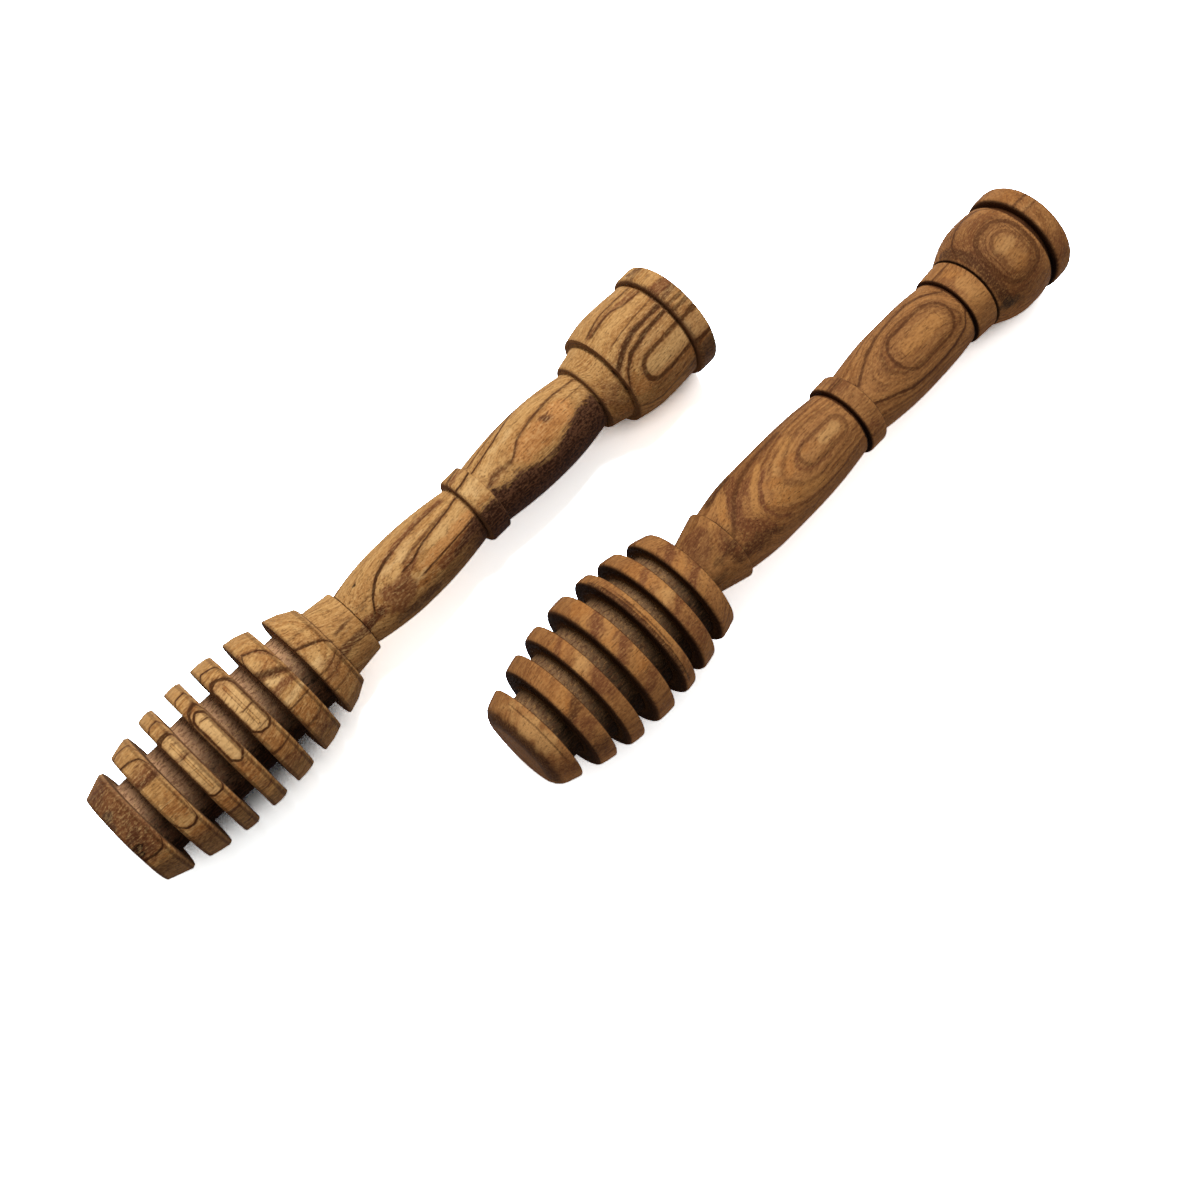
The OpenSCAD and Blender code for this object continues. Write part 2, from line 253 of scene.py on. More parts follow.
def roundedCorner(before, corner, after, radius):
    before, corner, after = Vector(before), Vector(corner), Vector(after)
    toBefore, toAfter = (before - corner), (after - corner)
    shortest = min(toBefore.length, toAfter.length)
    if shortest < 1e-6:
        return [corner]
    toBefore.normalize()
    toAfter.normalize()
    half = math.acos(max(-1.0, min(1.0, toBefore.dot(toAfter)))) / 2
    if half > math.radians(lathe["flatCorner"]):
        return [corner]
    reach = min(radius / math.tan(half), lathe["cornerShare"] * shortest)
    arcRadius = reach * math.tan(half)
    centre = corner + (toBefore + toAfter).normalized() * arcRadius / math.sin(half)
    start = corner + toBefore * reach - centre
    end = corner + toAfter * reach - centre
    turn = math.atan2(start.x * end.y - start.y * end.x, start.dot(end))
    steps = lathe["cornerSteps"]
    return [centre + Matrix.Rotation(turn * step / steps, 2) @ start for step in range(steps + 1)]


def outlineOf(corners):
    points = []
    for index, (along, radius, rounding) in enumerate(corners):
        if rounding > 0:
            before, after = corners[index - 1][:2], corners[index + 1][:2]
            points += roundedCorner(before, (along, radius), after, rounding)
        else:
            points.append(Vector((along, radius)))
    fine = [points[0]]
    for point in points[1:]:
        last = fine[-1]
        gap = (point - last).length
        if gap < 1e-4:
            continue
        steep = abs(point.y - last.y) > abs(point.x - last.x)
        pieces = math.ceil(gap / (lathe["wallStep"] if steep else lathe["longStep"]))
        fine += [last.lerp(point, piece / pieces) for piece in range(1, pieces + 1)]
    return fine


def pick(piece):
    bpy.ops.object.select_all(action="DESELECT")
    piece.select_set(True)
    bpy.context.view_layer.objects.active = piece


def turnOnLathe(name, outline):
    # the outline is drawn as a chain of extruded points in the XZ plane and spun about X
    bpy.ops.mesh.primitive_plane_add(size=mm, location=(0, 0, 0))
    piece = bpy.context.active_object
    piece.name = name
    pick(piece)
    bpy.ops.object.mode_set(mode="EDIT")
    bpy.ops.mesh.select_all(action="SELECT")
    bpy.ops.mesh.merge(type="CENTER")
    for last, point in zip(outline, outline[1:]):
        step = (point - last) * mm
        bpy.ops.mesh.extrude_vertices_move(TRANSFORM_OT_translate={"value": (step.x, 0, step.y)})
    bpy.ops.mesh.select_all(action="SELECT")
    bpy.ops.mesh.spin(
        steps=lathe["turns"], angle=2 * math.pi, center=(0, 0, 0), axis=(1, 0, 0), use_auto_merge=True
    )
    bpy.ops.mesh.select_all(action="SELECT")
    bpy.ops.mesh.remove_doubles(threshold=lathe["weld"] * mm)
    bpy.ops.mesh.normals_make_consistent(inside=False)
    bpy.ops.object.mode_set(mode="OBJECT")
    return piece


def readVectors(piece, name):
    flat = np.zeros(len(piece.data.vertices) * 3)
    piece.data.vertices.foreach_get(name, flat)
    return flat.reshape(-1, 3)


def readPlaces(piece):
    # along the axis, degrees around it from the top toward +Y, and mm in one degree
    along, sideways, up = readVectors(piece, "co").T / mm
    return along, np.degrees(np.arctan2(sideways, up)), np.hypot(sideways, up) * math.pi / 180


def addMark(piece, name, values):
    mark = piece.data.attributes.new(name, "FLOAT", "POINT")
    mark.data.foreach_set("value", values.astype(np.float32))


def markFinish(piece, form, figure, marks):
    # how much each point belongs to a groove's core, a burnt line, a bevel with a painted highlight,
    # a disc's outline with painted shade or a face that shows end grain and painted shade
    along, sideways, up = readVectors(piece, "co").T / mm
    radius = np.hypot(sideways, up)
    steepness = np.abs(readVectors(piece, "normal")[:, 0])
    endGrainAndShade = np.clip((steepness - figure["wallFrom"]) / wear["wallRange"], 0, 1)
    endGrainAndShade = endGrainAndShade * np.clip(wear["noseWall"] + along / wear["noseReach"], 0, 1)
    core, burn, bevelWornAndLit, outline = (np.zeros(len(along)) for mark in range(4))
    for start, end, coreRadius in marks["cores"]:
        inside = (along > start - wear["touch"]) & (along < end + wear["touch"])
        near = np.clip(wear["coreFull"] - (radius - coreRadius) / wear["coreReach"], 0, 1)
        core = np.maximum(core, np.where(inside, near, 0))
    for (start, end), force in zip(marks["lines"], figure["lineForce"]):
        reach = (end - start) / 2 * figure["burntShare"]
        away = np.maximum(np.abs(along - (start + end) / 2) - reach, 0)
        burn = np.maximum(burn, np.clip(1 - away / wear["lineSoft"], 0, 1) * force)
    bevelIn, bevelOut = form["discBevels"][0][0], form["discBevels"][1][0]
    for start, end, discRadius in marks["discs"]:
        onTop = radius > discRadius - wear["topDepth"]
        for edge in (start + bevelIn, end - bevelOut):
            close = np.clip(1 - np.abs(along - edge) / wear["edgeWidth"], 0, 1)
            outline = np.maximum(outline, np.where(onTop, close, 0))
        if bevelOut > 0:
            share = np.clip((along - end + bevelOut) / (bevelOut * wear["bevelRise"]), 0, 1)
            bevelWornAndLit = np.maximum(bevelWornAndLit, np.where(onTop & (along < end + wear["touch"]), share, 0))
    addMark(piece, "core", core)
    addMark(piece, "burn", burn)
    addMark(piece, "bevelWornAndLit", bevelWornAndLit)
    addMark(piece, "outline", outline)
    addMark(piece, "endGrainAndShade", endGrainAndShade)


def drawLanes(piece, lanes):
    # the gap to a vein, in widths of that vein, and its strength
    along, around, degree = readPlaces(piece)
    for index, lane in enumerate(lanes):
        path = [place for above, below, strength, *places in lane for place in places]
        gap = (around - np.interp(along, *zip(*path))) * degree
        force = np.zeros(len(along))
        width = np.full(len(along), 0.2)
        overlap = drawing["veinOverlap"]
        for above, below, strength, *places in lane:
            start, end = places[0][0], places[-1][0]
            share = np.minimum(along - start, end - along) / drawing["veinEnd"]
            force = np.maximum(force, np.clip(share + drawing["veinFull"], 0, 1) * strength)
            inside = (along > start - overlap) & (along < end + overlap)
            width = np.where(inside, np.where(gap > 0, above, below), width)
        gap = np.clip(gap / width, -drawing["farthest"], drawing["farthest"])
        addMark(piece, "lane%d" % index, gap)
        addMark(piece, "force%d" % index, force)


def drawLoops(piece, loops):
    # the gap to the nearest loop, in widths of its line: a box whose corners are round when
    # they are large and cut off when they are small
    along, around, degree = readPlaces(piece)
    nearest = np.full(len(along), float(drawing["farthest"]))
    force = np.zeros(len(along))
    for start, end, top, bottom, corner, slant, width, strength in loops:
        x = along - (start + end) / 2
        y = (around - (top + bottom) / 2) * degree - slant * x
        overX = np.abs(x) - (end - start) / 2 + corner
        overY = np.abs(y) - (top - bottom) / 2 * degree + corner
        if corner > drawing["smallCorner"]:
            away = np.hypot(np.maximum(overX, 0), np.maximum(overY, 0))
            away = away + np.minimum(np.maximum(overX, overY), 0) - corner
        else:
            away = np.maximum(np.maximum(overX, overY) - corner, (overX + overY - corner) * 0.7)
        away = away / width
        inside = (along > start - 1) & (along < end + 1) & (np.abs(away) < np.abs(nearest))
        nearest = np.where(inside, away, nearest)
        force = np.where(inside, strength, force)
    addMark(piece, "loop", nearest)
    addMark(piece, "loopForce", force)


def drawColours(piece, spots, strokes):
    # soft patches, bent so that they don't look like discs, and soft strokes
    along, around, degree = readPlaces(piece)
    arc = around * degree
    bendAlong = np.sin(1.3 * arc + 0.8 * along) + 0.6 * np.sin(2.7 * arc - 1.6 * along + 1)
    bendAcross = 0.6 * np.sin(0.9 * along + 0.8 * arc + 2) + 0.4 * np.sin(2.1 * along - 1.7 * arc)

    def fromPlace(place, width, bends):
        x = along - place[0] + bendAlong * bends[0] * width[0]
        return x, (around - place[1]) * degree + bendAcross * bends[1] * width[1]

    for kind in colourKinds:
        cover = np.zeros(len(along))
        for spotAlong, spotAround, length, width, strength, *lean in spots.get(kind, ()):
            x, y = fromPlace((spotAlong, spotAround), (length, width), drawing["spotBend"])
            if kind == "pit":
                x = along - spotAlong
            turn = math.radians(sum(lean))
            overX = (x * math.cos(turn) + y * math.sin(turn)) / length
            overY = (y * math.cos(turn) - x * math.sin(turn)) / width
            far = np.hypot(overX, overY)
            steepness, reach = drawing["spotEdge"]
            cover = np.maximum(cover, strength * np.clip(steepness * (reach - far), 0, 1))
        for width, strength, *path in strokes.get(kind, ()):
            far = np.full(len(along), 99.0)
            for start, end in zip(path, path[1:]):
                stepX = end[0] - start[0]
                stepY = (end[1] - start[1]) * degree
                x, y = fromPlace(start, (width, width), drawing["strokeBend"])
                share = (x * stepX + y * stepY) / np.maximum(stepX**2 + stepY**2, 1e-6)
                share = np.clip(share, 0, 1)
                far = np.minimum(far, np.hypot(x - share * stepX, y - share * stepY))
            steepness, reach = drawing["strokeEdge"]
            cover = np.maximum(cover, strength * np.clip(steepness * (reach - far / width), 0, 1))
        addMark(piece, kind, cover)


def drawHeart(piece, edge, force):
    # mm below the line where the dark heartwood starts
    along, around, degree = readPlaces(piece)
    away = np.where(around > 100, around - 360, around)
    deep = (np.interp(along, *zip(*edge)) - away) * degree
    addMark(piece, "heart", np.clip(deep, -drawing["heartReach"], drawing["heartReach"]))
    addMark(piece, "heartForce", np.interp(along, *zip(*force)))


def clearEnds(piece, names):
    # the figure is drawn around the turned forms: on the two flat ends it stops at their rims
    along, around, degree = readPlaces(piece)
    radius = degree * 180 / math.pi
    share = np.ones(len(along))
    for end in (along.min(), along.max()):
        onFace = np.abs(along - end) < drawing["faceDepth"]
        inner = radius - radius[onFace].max() + drawing["faceRim"]
        share = np.where(onFace, np.clip(inner / drawing["faceSoft"], 0, 1), share)
    values = np.zeros(len(along))
    for name in names:
        data = piece.data.attributes[name].data
        data.foreach_get("value", values)
        data.foreach_set("value", values * share)


def drawFigure(piece, figure):
    drawLanes(piece, figure["lanes"])
    drawLoops(piece, figure["loops"])
    drawColours(piece, figure["spots"], figure["strokes"])
    drawHeart(piece, figure["heartEdge"], figure["heartForce"])
    forces = ["force%d" % index for index in range(len(figure["lanes"]))]
    clearEnds(piece, (*forces, "loopForce", "heartForce", *colourKinds))


def roughen(piece, name):
    # hand turning leaves the forms a little uneven
    clouds = bpy.data.textures.new(name, "CLOUDS")
    clouds.noise_scale = lathe["unevenSize"] * mm
    clouds.noise_depth = 1
    modifier = piece.modifiers.new(name, "DISPLACE")
    modifier.texture = clouds
    modifier.texture_coords = "LOCAL"
    modifier.direction = "NORMAL"
    modifier.mid_level = 0.5
    modifier.strength = lathe["unevenDepth"] * mm
    pick(piece)
    bpy.ops.object.modifier_apply(modifier=name)


def layDown(piece, node, headMount, knobMount):
    # the axis runs between the two flat ends that the record names
    headAt = Vector(headMount)
    toKnob = (Vector(knobMount) - headAt).normalized()
    fall = math.atan2(-toKnob.z, math.hypot(toKnob.x, toKnob.y))
    turn = math.atan2(toKnob.y, toKnob.x)
    piece.rotation_euler = (0, fall, turn)
    piece.location = headAt
    pick(piece)
    bpy.ops.object.transform_apply(location=True, rotation=True, scale=True)
    bpy.ops.object.shade_smooth_by_angle(angle=math.radians(lathe["crease"]))
    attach(piece, "root")
    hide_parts(node)
    return headAt, (0, fall, turn)


def operation(name):
    return lambda amount, *others: amount.shop.math(name, amount, *others)


class Amount:
    # a socket that can be used in Python expressions
    __add__ = operation("ADD")
    __sub__ = operation("SUBTRACT")
    __mul__ = operation("MULTIPLY")
    __truediv__ = operation("DIVIDE")
    __abs__ = operation("ABSOLUTE")
    least = operation("MINIMUM")
    most = operation("MAXIMUM")
    root = operation("SQRT")
    sine = operation("SINE")
    cosine = operation("COSINE")

    def __init__(self, shop, socket):
        self.shop = shop
        self.socket = socket

    def __radd__(self, other):
        return self.shop.math("ADD", other, self)

    def __rsub__(self, other):
        return self.shop.math("SUBTRACT", other, self)

    def clamp(self):
        return self.shop.math("ADD", self, 0, clamp=True)


class Shop:
    # makes the nodes of one material or of the world
    def __init__(self, owner):
        owner.use_nodes = True
        self.tree = owner.node_tree
        self.tree.nodes.clear()

    def node(self, kind, values=None, output=0, **settings):
        made = self.tree.nodes.new(kind)
        for setting, value in settings.items():
            setattr(made, setting, value)
        for socket, value in (values or {}).items():
            if isinstance(value, Amount):
                self.tree.links.new(value.socket, made.inputs[socket])
            else:
                made.inputs[socket].default_value = value
        return Amount(self, made.outputs[output]) if len(made.outputs) else None

    def math(self, operation, *values, clamp=False):
        values = dict(enumerate(values))
        return self.node("ShaderNodeMath", values, operation=operation, use_clamp=clamp)

    def blend(self, share, under, over):
        return self.node("ShaderNodeMix", {0: share, 6: under, 7: over}, output=2, data_type="RGBA")

    def noise(self, place, stretch, scale, detail, roughness):
        stretched = [amount * factor for amount, factor in zip(place, stretch)]
        joined = self.node("ShaderNodeCombineXYZ", dict(enumerate(stretched)))
        values = {"Vector": joined, "Scale": scale, "Detail": detail, "Roughness": roughness}
        return self.node("ShaderNodeTexNoise", values)

    def lineNoise(self, amount, scale, detail, roughness):
        values = {"W": amount, "Scale": scale, "Detail": detail, "Roughness": roughness}
        return self.node("ShaderNodeTexNoise", values, noise_dimensions="1D")

    def ease(self, amount, low, high):
        values = {0: amount, 1: low, 2: high}
        return self.node("ShaderNodeMapRange", values, interpolation_type="SMOOTHSTEP")

    def readMark(self, name):
        return self.node("ShaderNodeAttribute", output=2, attribute_name=name)

    def ray(self, name):
        return self.node("ShaderNodeLightPath", output=name)

    def curveAlong(self, share, length, points):
        # points are (mm along the axis, value)
        values = [value for place, value in points]
        low, high = min(values), max(values)
        raw = self.node("ShaderNodeFloatCurve", {0: 1.0, 1: share})
        mapping = raw.socket.node.mapping
        bends = mapping.curves[0].points
        scaled = [(place / length, (value - low) / (high - low)) for place, value in points]
        bends[0].location, bends[1].location = scaled[0], scaled[-1]
        for place in scaled[1:-1]:
            bends.new(*place)
        for bend in bends:
            bend.handle_type = "AUTO_CLAMPED"
        mapping.update()
        return raw * (high - low) + low


def colour(red, green, blue):
    # screen colour 0-255 to the linear colour that a node takes
    parts = (red / 255, green / 255, blue / 255)
    linear = (part / 12.92 if part <= 0.04045 else ((part + 0.055) / 1.055) ** 2.4 for part in parts)
    return (*linear, 1.0)


colourKinds = ("amber", "cream", "ember", "russet", "umber", "smoke", "pit")
trunk = 45  # mm from the pith of the tree to the axis of a dipper

# The figure of each piece of wood, in mm along the axis and degrees around it, counted from
# the top toward +Y. A growth ring lies at a height above the pith: tilt turns that height
# toward -Y and lift raises it along the axis.
# A vein is (mm soft above, mm soft below, strength, places). The veins of one lane follow each
# other along the axis. A loop is (start, end, top, bottom, corner, slant, line width, strength).
# A crack is (along, from, to, strength). Strokes and spots are listed by colour: a stroke is
# (half width, strength, places), a spot is (along, around, half length, half width, strength)
# and its lean, if it has one. A ring vein is (height, mm above, mm below, strength, start, end).
paleFigure = {
    "tilt": [(0, 0), (12, 3), (25, 8), (37, 1), (48, -5), (62, 19), (80, 19), (100, 8), (118, 0),
             (128, 19), (134, 48), (155, 42)],
    "lift": [(0, -1), (12, -4), (25, -6), (37, -5.5), (58, -3), (80, -1), (110, 2.3), (155, 2.6)],
    "lanes": [
        [(0.15, 0.25, 0.6, (0, 58), (2.2, 56), (4.2, 44), (5.7, 34)),
         (0.2, 0.25, 1, (8.6, 50), (10.1, 53), (12.8, 46), (13.5, 36), (13.8, 22)),
         (0.2, 0.25, 1, (17, 32), (18, 37), (19.9, 37), (20.4, 33), (20.7, 20)),
         (0.2, 0.25, 1, (24, 29), (24.8, 38), (27.2, 39), (27.7, 33), (28, 18)),
         (0.2, 0.3, 1, (30.7, 34), (31.8, 41), (34.7, 38), (35.4, 32), (35.8, 18)),
         (0.2, 0.2, 0.8, (38.8, 64), (44.4, 68)), (0.3, 0.3, 0.7, (47.5, 66), (54, 72)),
         (0.35, 0.4, 0.7, (93.4, 41), (98.4, 59)),
         (0.15, 0.2, 0.7, (98.6, 43), (104.9, 51), (111.6, 60), (118, 72)),
         (0.2, 0.25, 0.8, (136, 31), (139, 35), (141.5, 38), (151, 41))],
        [(0.3, 0.35, 1, (8.6, 33), (10.5, 30), (12.5, 25), (13.4, 19), (13.8, 6)),
         (0.75, 0.3, 0.95, (17, 18), (18.6, 19.5), (20, 18.5), (20.6, 12)),
         (0.7, 0.35, 0.95, (24, 9), (25, 18), (26.4, 21), (27.4, 21.5), (28, 8)),
         (0.35, 0.7, 0.95, (30.7, 18), (31.8, 26), (33.2, 24.5), (34.5, 21), (35.4, 12), (35.8, 0)),
         (0.25, 0.4, 1, (38.8, 16), (39.5, 28), (41.1, 25), (43, 22), (44.1, 14), (44.5, 0)),
         (0.3, 0.3, 0.3, (47.5, 11), (54, 15)),
         (0.35, 0.25, 1, (64.2, -35), (65.1, -25), (66.2, -12), (67.9, -1), (69.9, 8), (72.3, 13),
          (75.2, 17.5)),
         (0.5, 0.2, 0.5, (75.3, 17.5), (79.3, 22), (83.5, 25), (89.9, 31)),
         (0.2, 0.25, 1, (93.3, 18), (95.7, 19), (98.5, 26)),
         (0.2, 0.2, 0.95, (98.6, 25), (103.3, 32), (106.6, 37), (111.2, 49), (116.1, 65)),
         (0.2, 0.35, 0.75, (136, 26), (141, 30), (143.4, 30.5), (145.5, 26), (151, 25))],
        [(0.15, 0.15, 0.7, (18, -3), (20, -3)), (0.12, 0.14, 0.8, (25.4, 7.5), (27.4, 6)),
         (0.14, 0.14, 0.8, (32.2, -9), (35.4, -8)),
         (0.9, 0.3, 0.85, (38.8, 2), (41.3, -2), (43.6, -6), (44.5, -11)),
         (0.55, 0.16, 0.95, (47.3, 0), (49.4, -3), (51.3, -6), (53, -9), (54.1, -18)),
         (0.3, 0.3, 0.45, (55.5, -13), (57, -12), (59.5, -11), (60.5, -11)),
         (0.18, 0.2, 0.95, (74, -15), (77, -13.5), (79, -8), (81.1, -4), (85.3, 1), (89.5, 8), (93, 17)),
         (0.2, 0.35, 0.75, (105, -11), (106.4, -8), (107.9, -1), (110.2, 9), (113.4, 14), (117.8, 19),
          (122.3, 23), (128.4, 21)),
         (0.6, 0.5, 0.95, (134.4, -22), (136.1, -16), (137.5, -12), (139.6, -7), (143.1, -3), (151, -2)),
         (0.4, 0.4, 0.7, (151.5, -8), (156.6, -8.5))],
        [(0.2, 0.25, 1, (0, -44), (2.4, -45), (4.6, -43), (5.7, -34)),
         (0.2, 0.3, 1, (8.6, -30), (9, -38), (9.9, -43.5), (11.5, -44.5), (12.8, -42), (13.4, -35),
          (13.7, -20)),
         (0.14, 0.16, 0.6, (32.2, -25), (35, -25)), (0.15, 0.2, 0.75, (38.8, -32), (44.4, -32)),
         (0.2, 0.2, 0.6, (47.4, -31), (49.5, -32), (51.5, -31), (54, -26)),
         (0.25, 0.2, 0.3, (56.2, -21), (59, -20)), (0.15, 0.2, 0.85, (77, -38), (84, -36), (92.6, -33)),
         (0.3, 0.4, 0.5, (98.7, -12), (101, -6), (104, -8), (106, -8)),
         (0.5, 0.45, 0.95, (134.5, -45), (135.3, -34), (136.8, -25), (138.8, -18), (141.3, -15),
          (144.1, -12), (151, -10)),
         (0.4, 0.4, 0.7, (151.5, -15), (156.6, -15.5))],
        [(0.12, 0.12, 0.5, (8.7, -66), (11, -67), (13.7, -66)),
         (0.3, 0.3, 0.8, (17, -57), (19, -59), (20.6, -58)),
         (0.14, 0.14, 0.8, (24, -63), (26, -64.5), (28, -62)),
         (0.25, 0.2, 0.8, (30.8, -46.5), (33, -47.5), (35.7, -46)),
         (0.3, 0.5, 0.6, (38.8, -52), (42, -53), (44.5, -49)),
         (0.2, 0.3, 0.5, (47.5, -38), (51, -39), (54, -35)), (0.2, 0.2, 0.4, (62, -6), (66, -5)),
         (0.25, 0.3, 0.5, (75, -7), (78, -1), (81.1, 2), (85.3, 6), (89.5, 10)),
         (0.12, 0.14, 0.5, (122, 2), (128.4, 3)),
         (0.12, 0.16, 0.6, (137, 1), (141.1, 4), (145.6, 7), (151, 9))],
        [(0.14, 0.14, 0.6, (17, -78), (19, -80), (20.6, -78)), (0.14, 0.14, 0.5, (24, -83), (28, -85)),
         (0.2, 0.2, 0.4, (30.8, -57), (35.7, -57)), (0.3, 0.3, 0.4, (47.5, -52), (54, -56)),
         (0.25, 0.25, 0.5, (134.6, -72), (137, -78), (140.3, -80), (143.3, -77), (151, -76))],
    ],
    "loops": [(17.05, 20.6, 18.5, -38.5, 0.8, 0, 0.17, 1), (24.55, 27.6, 15.5, -32.5, 1.3, 0.05, 0.19, 1),
              (31, 35.3, 23, -29, 1.2, -0.12, 0.2, 1), (138.8, 160, -27, -54, 2.9, 0.05, 0.44, 0.8)],
    "cracks": [(54.05, -120, 120, 0.6), (61.25, -120, 120, 0.9)],
    "strokes": {
        "amber": [(1.6, 0.8, (78, -34), (92, -26)), (2.8, 0.9, (109.5, -10), (121, -8)),
            (1.5, 0.7, (136, -52), (150, -58))],
        "cream": [(0.7, 0.7, (39.5, -26), (44, -25)), (0.8, 0.8, (39.6, -7), (41.6, -10))],
        "russet": [(3.6, 1, (2.9, 44), (2.9, -30)), (1.5, 1, (8.8, 10), (13.6, 9)),
            (0.8, 0.6, (8.8, 17), (13.6, 17)), (1.3, 0.9, (61.5, -38), (66, -37)),
            (0.7, 1, (39, -15), (44.4, -15)), (0.6, 0.9, (39.3, 27), (42, 24), (44.3, 12)),
            (0.8, 0.6, (134.4, -22), (136, -16), (139.6, -7), (143, -3), (151, -2)),
            (0.7, 0.6, (134.5, -45), (135.3, -34), (136.8, -25), (138.8, -18), (144, -12), (151, -10)),
            (0.5, 0.8, (136, 29), (143, 31), (151, 27)), (1.4, 1, (151.9, 10), (156, 9)),
            (2.4, 1, (69.5, -30), (72.5, -34)), (0.9, 0.9, (72, -26), (77.5, -12)),
            (0.75, 1, (73, 15.5), (77, 22), (81, 27), (86, 31), (90, 33)),
            (1.2, 0.8, (81, -50), (92.6, -41))],
        "umber": [(0.8, 0.8, (8.8, 6), (13.6, 4)), (1.6, 0.5, (1, 30), (3.5, -8)),
            (3.6, 0.3, (2.9, 44), (2.9, -30)), (1.05, 0.9, (54.2, -37), (61, -38)),
            (0.8, 0.9, (61.4, -44), (63.6, -40), (65.6, -35)), (0.6, 0.8, (39, 0), (44.3, -8)),
            (0.45, 0.7, (54.4, 69), (61, 66)), (0.45, 0.7, (61.5, 64), (68, 70), (80, 74)),
            (0.8, 0.8, (85, -52), (92.8, -43)), (1.6, 0.6, (68, -72), (77, -74)),
            (0.8, 0.6, (151.7, 20), (151.7, -60))],
    },
    "spots": {
        "cream": [(3.3, -12, 2, 1.5, 0.5), (25.8, -28, 1, 0.9, 0.5), (26.1, -5, 1.4, 5, 0.45),
            (33.1, 0, 2, 2.6, 0.4), (49.2, -24, 2, 1.4, 0.7), (76, -38, 3.4, 0.7, 0.6, 14),
            (76, 6, 6, 1.2, 0.55, 10), (86, -8, 6, 1.5, 0.35, 4), (95.9, 0, 2.6, 2.8, 0.6),
            (107, 24, 5, 1, 0.6, 12), (101, 12, 3, 1.4, 0.4, 8), (145, -20, 5, 1, 0.4, 2)],
        "ember": [(3.2, -30, 4, 5, 0.6), (11.1, -26, 2.8, 3.2, 0.85), (11, -52, 2.9, 2.2, 0.7),
            (18.8, -49, 2.4, 2.8, 0.7), (26.2, 19, 2.2, 1, 0.8), (25.9, -43, 2.4, 3, 0.8),
            (33.1, 16, 2.7, 2.2, 0.75), (33.1, -42, 2.8, 3.4, 0.75), (42.6, 8, 2.3, 1.8, 0.7, -20),
            (41.4, -44, 3.5, 3.6, 0.75), (50.5, -55, 4.2, 4, 0.6), (57.6, -62, 4.4, 1.9, 0.5),
            (64.5, 12, 4, 3.2, 0.35), (66.5, -30, 2.4, 2, 0.5), (81, -47, 9, 1.3, 0.75),
            (95.9, -22, 2.8, 0.9, 0.6), (114, -13, 6, 3, 0.5), (136.6, -42, 2.4, 2.6, 0.6),
            (154, -33, 3.2, 3.4, 0.55)],
        "russet": [(3.2, 14, 4.2, 4.6, 1), (4.4, -27, 1.5, 1.6, 0.9), (11.1, 18, 2.9, 1.3, 0.6),
            (19, -2.5, 2.2, 0.85, 0.8), (25.9, -62, 2.4, 2.6, 0.6), (33.1, -62, 3, 3, 0.8),
            (41.7, -14.5, 3.5, 1.3, 0.85, 8), (41.4, -64, 3.6, 3, 0.8), (51, -35, 4.2, 2, 0.7, 12),
            (70.4, -46, 3.4, 2.4, 0.9), (78, -12, 3.2, 0.7, 0.5, 12), (95.9, 37, 3, 0.9, 0.7, 12),
            (117.4, 0, 2.2, 1.3, 0.55), (101.5, -9, 3.4, 1.2, 0.6, 4), (108.5, 1, 2.6, 0.9, 0.5, 30),
            (131, -46, 3.2, 4, 0.65), (147.8, 29.5, 3.2, 1.3, 0.85), (139.5, 32, 4.5, 0.7, 0.5, 6),
            (146, -10, 6, 0.7, 0.35, 2), (144, -64, 8, 1.6, 0.4)],
        "umber": [(2.8, 38, 3.8, 2.6, 0.75), (2.4, -19, 3.4, 1.2, 0.95, -48), (1.3, -34, 2.2, 1.7, 0.85),
            (57.5, -11.5, 3, 0.45, 0.65), (63.2, -12, 1, 0.3, 0.9), (66.1, 30, 0.8, 0.3, 0.7, 20),
            (71.5, -30, 2.6, 1, 0.5, 12), (117.2, 3, 1.6, 1, 1, -10), (118.5, 5, 1.4, 0.32, 0.9, 8),
            (116.2, 5, 1, 0.3, 0.7, -10), (154.4, 47, 3.2, 2, 0.75), (154.3, 28, 1, 0.4, 0.8),
            (154.3, 1, 3.4, 1.1, 0.85), (153.8, -52, 3.2, 0.6, 0.95)],
        "smoke": [(0.7, 9, 1.5, 2.4, 0.85), (1.2, -23, 1.2, 0.9, 0.45), (126, -8, 3, 1, 0.3, 10),
            (135.4, -20, 1.3, 2.6, 0.4)],
        "pit": [(0.9, -30, 1.3, 0.55, 1, -8), (0.5, -37, 0.8, 0.55, 0.9), (65.3, 27, 0.32, 0.3, 1)],
    },
    "heartEdge": [(0, -55), (4, -56), (9, -55), (14, -54), (19, -58), (25, -74), (34, -68), (42, -66),
        (50, -76), (60, -84), (66, -80), (71, -64), (81, -58), (87, -44), (92.5, -31), (95, -27),
        (98.2, -30), (98.6, -17), (100.7, -25), (104.8, -29), (107.5, -32), (110.2, -39), (112.3, -43),
        (115, -40), (118.6, -33), (121.8, -24), (125.1, -20), (128.5, -20), (129, -78), (140, -88),
        (151, -70), (153, -58), (156.6, -58)],
    "heartForce": [(0, 0.65), (22, 0.6), (30, 0.4), (46, 0.4), (62, 0.25), (72, 0.35), (86, 0.5),
        (92.5, 1), (128.6, 1), (129.5, 0.5), (138, 0.2), (146, 0.2), (153, 0.8)],
    "ringVeins": [],
    "colours": {
        "pale": (196, 152, 95), "middle": (166, 118, 66), "band": (122, 76, 41), "vein": (64, 35, 12),
        "amber": (190, 132, 76), "ember": (146, 91, 44), "russet": (114, 68, 40), "umber": (78, 43, 25),
        "cream": (214, 175, 120), "smoke": (70, 55, 42), "pit": (38, 20, 10), "heart": (92, 60, 42),
        "heartStreak": (34, 18, 12), "coreLight": (178, 138, 104), "coreInPaintedShade": (42, 27, 18),
        "wallGrainAndShade": (116, 82, 56), "bevelWornAndLit": (142, 106, 74), "burnt": (38, 19, 9),
    },
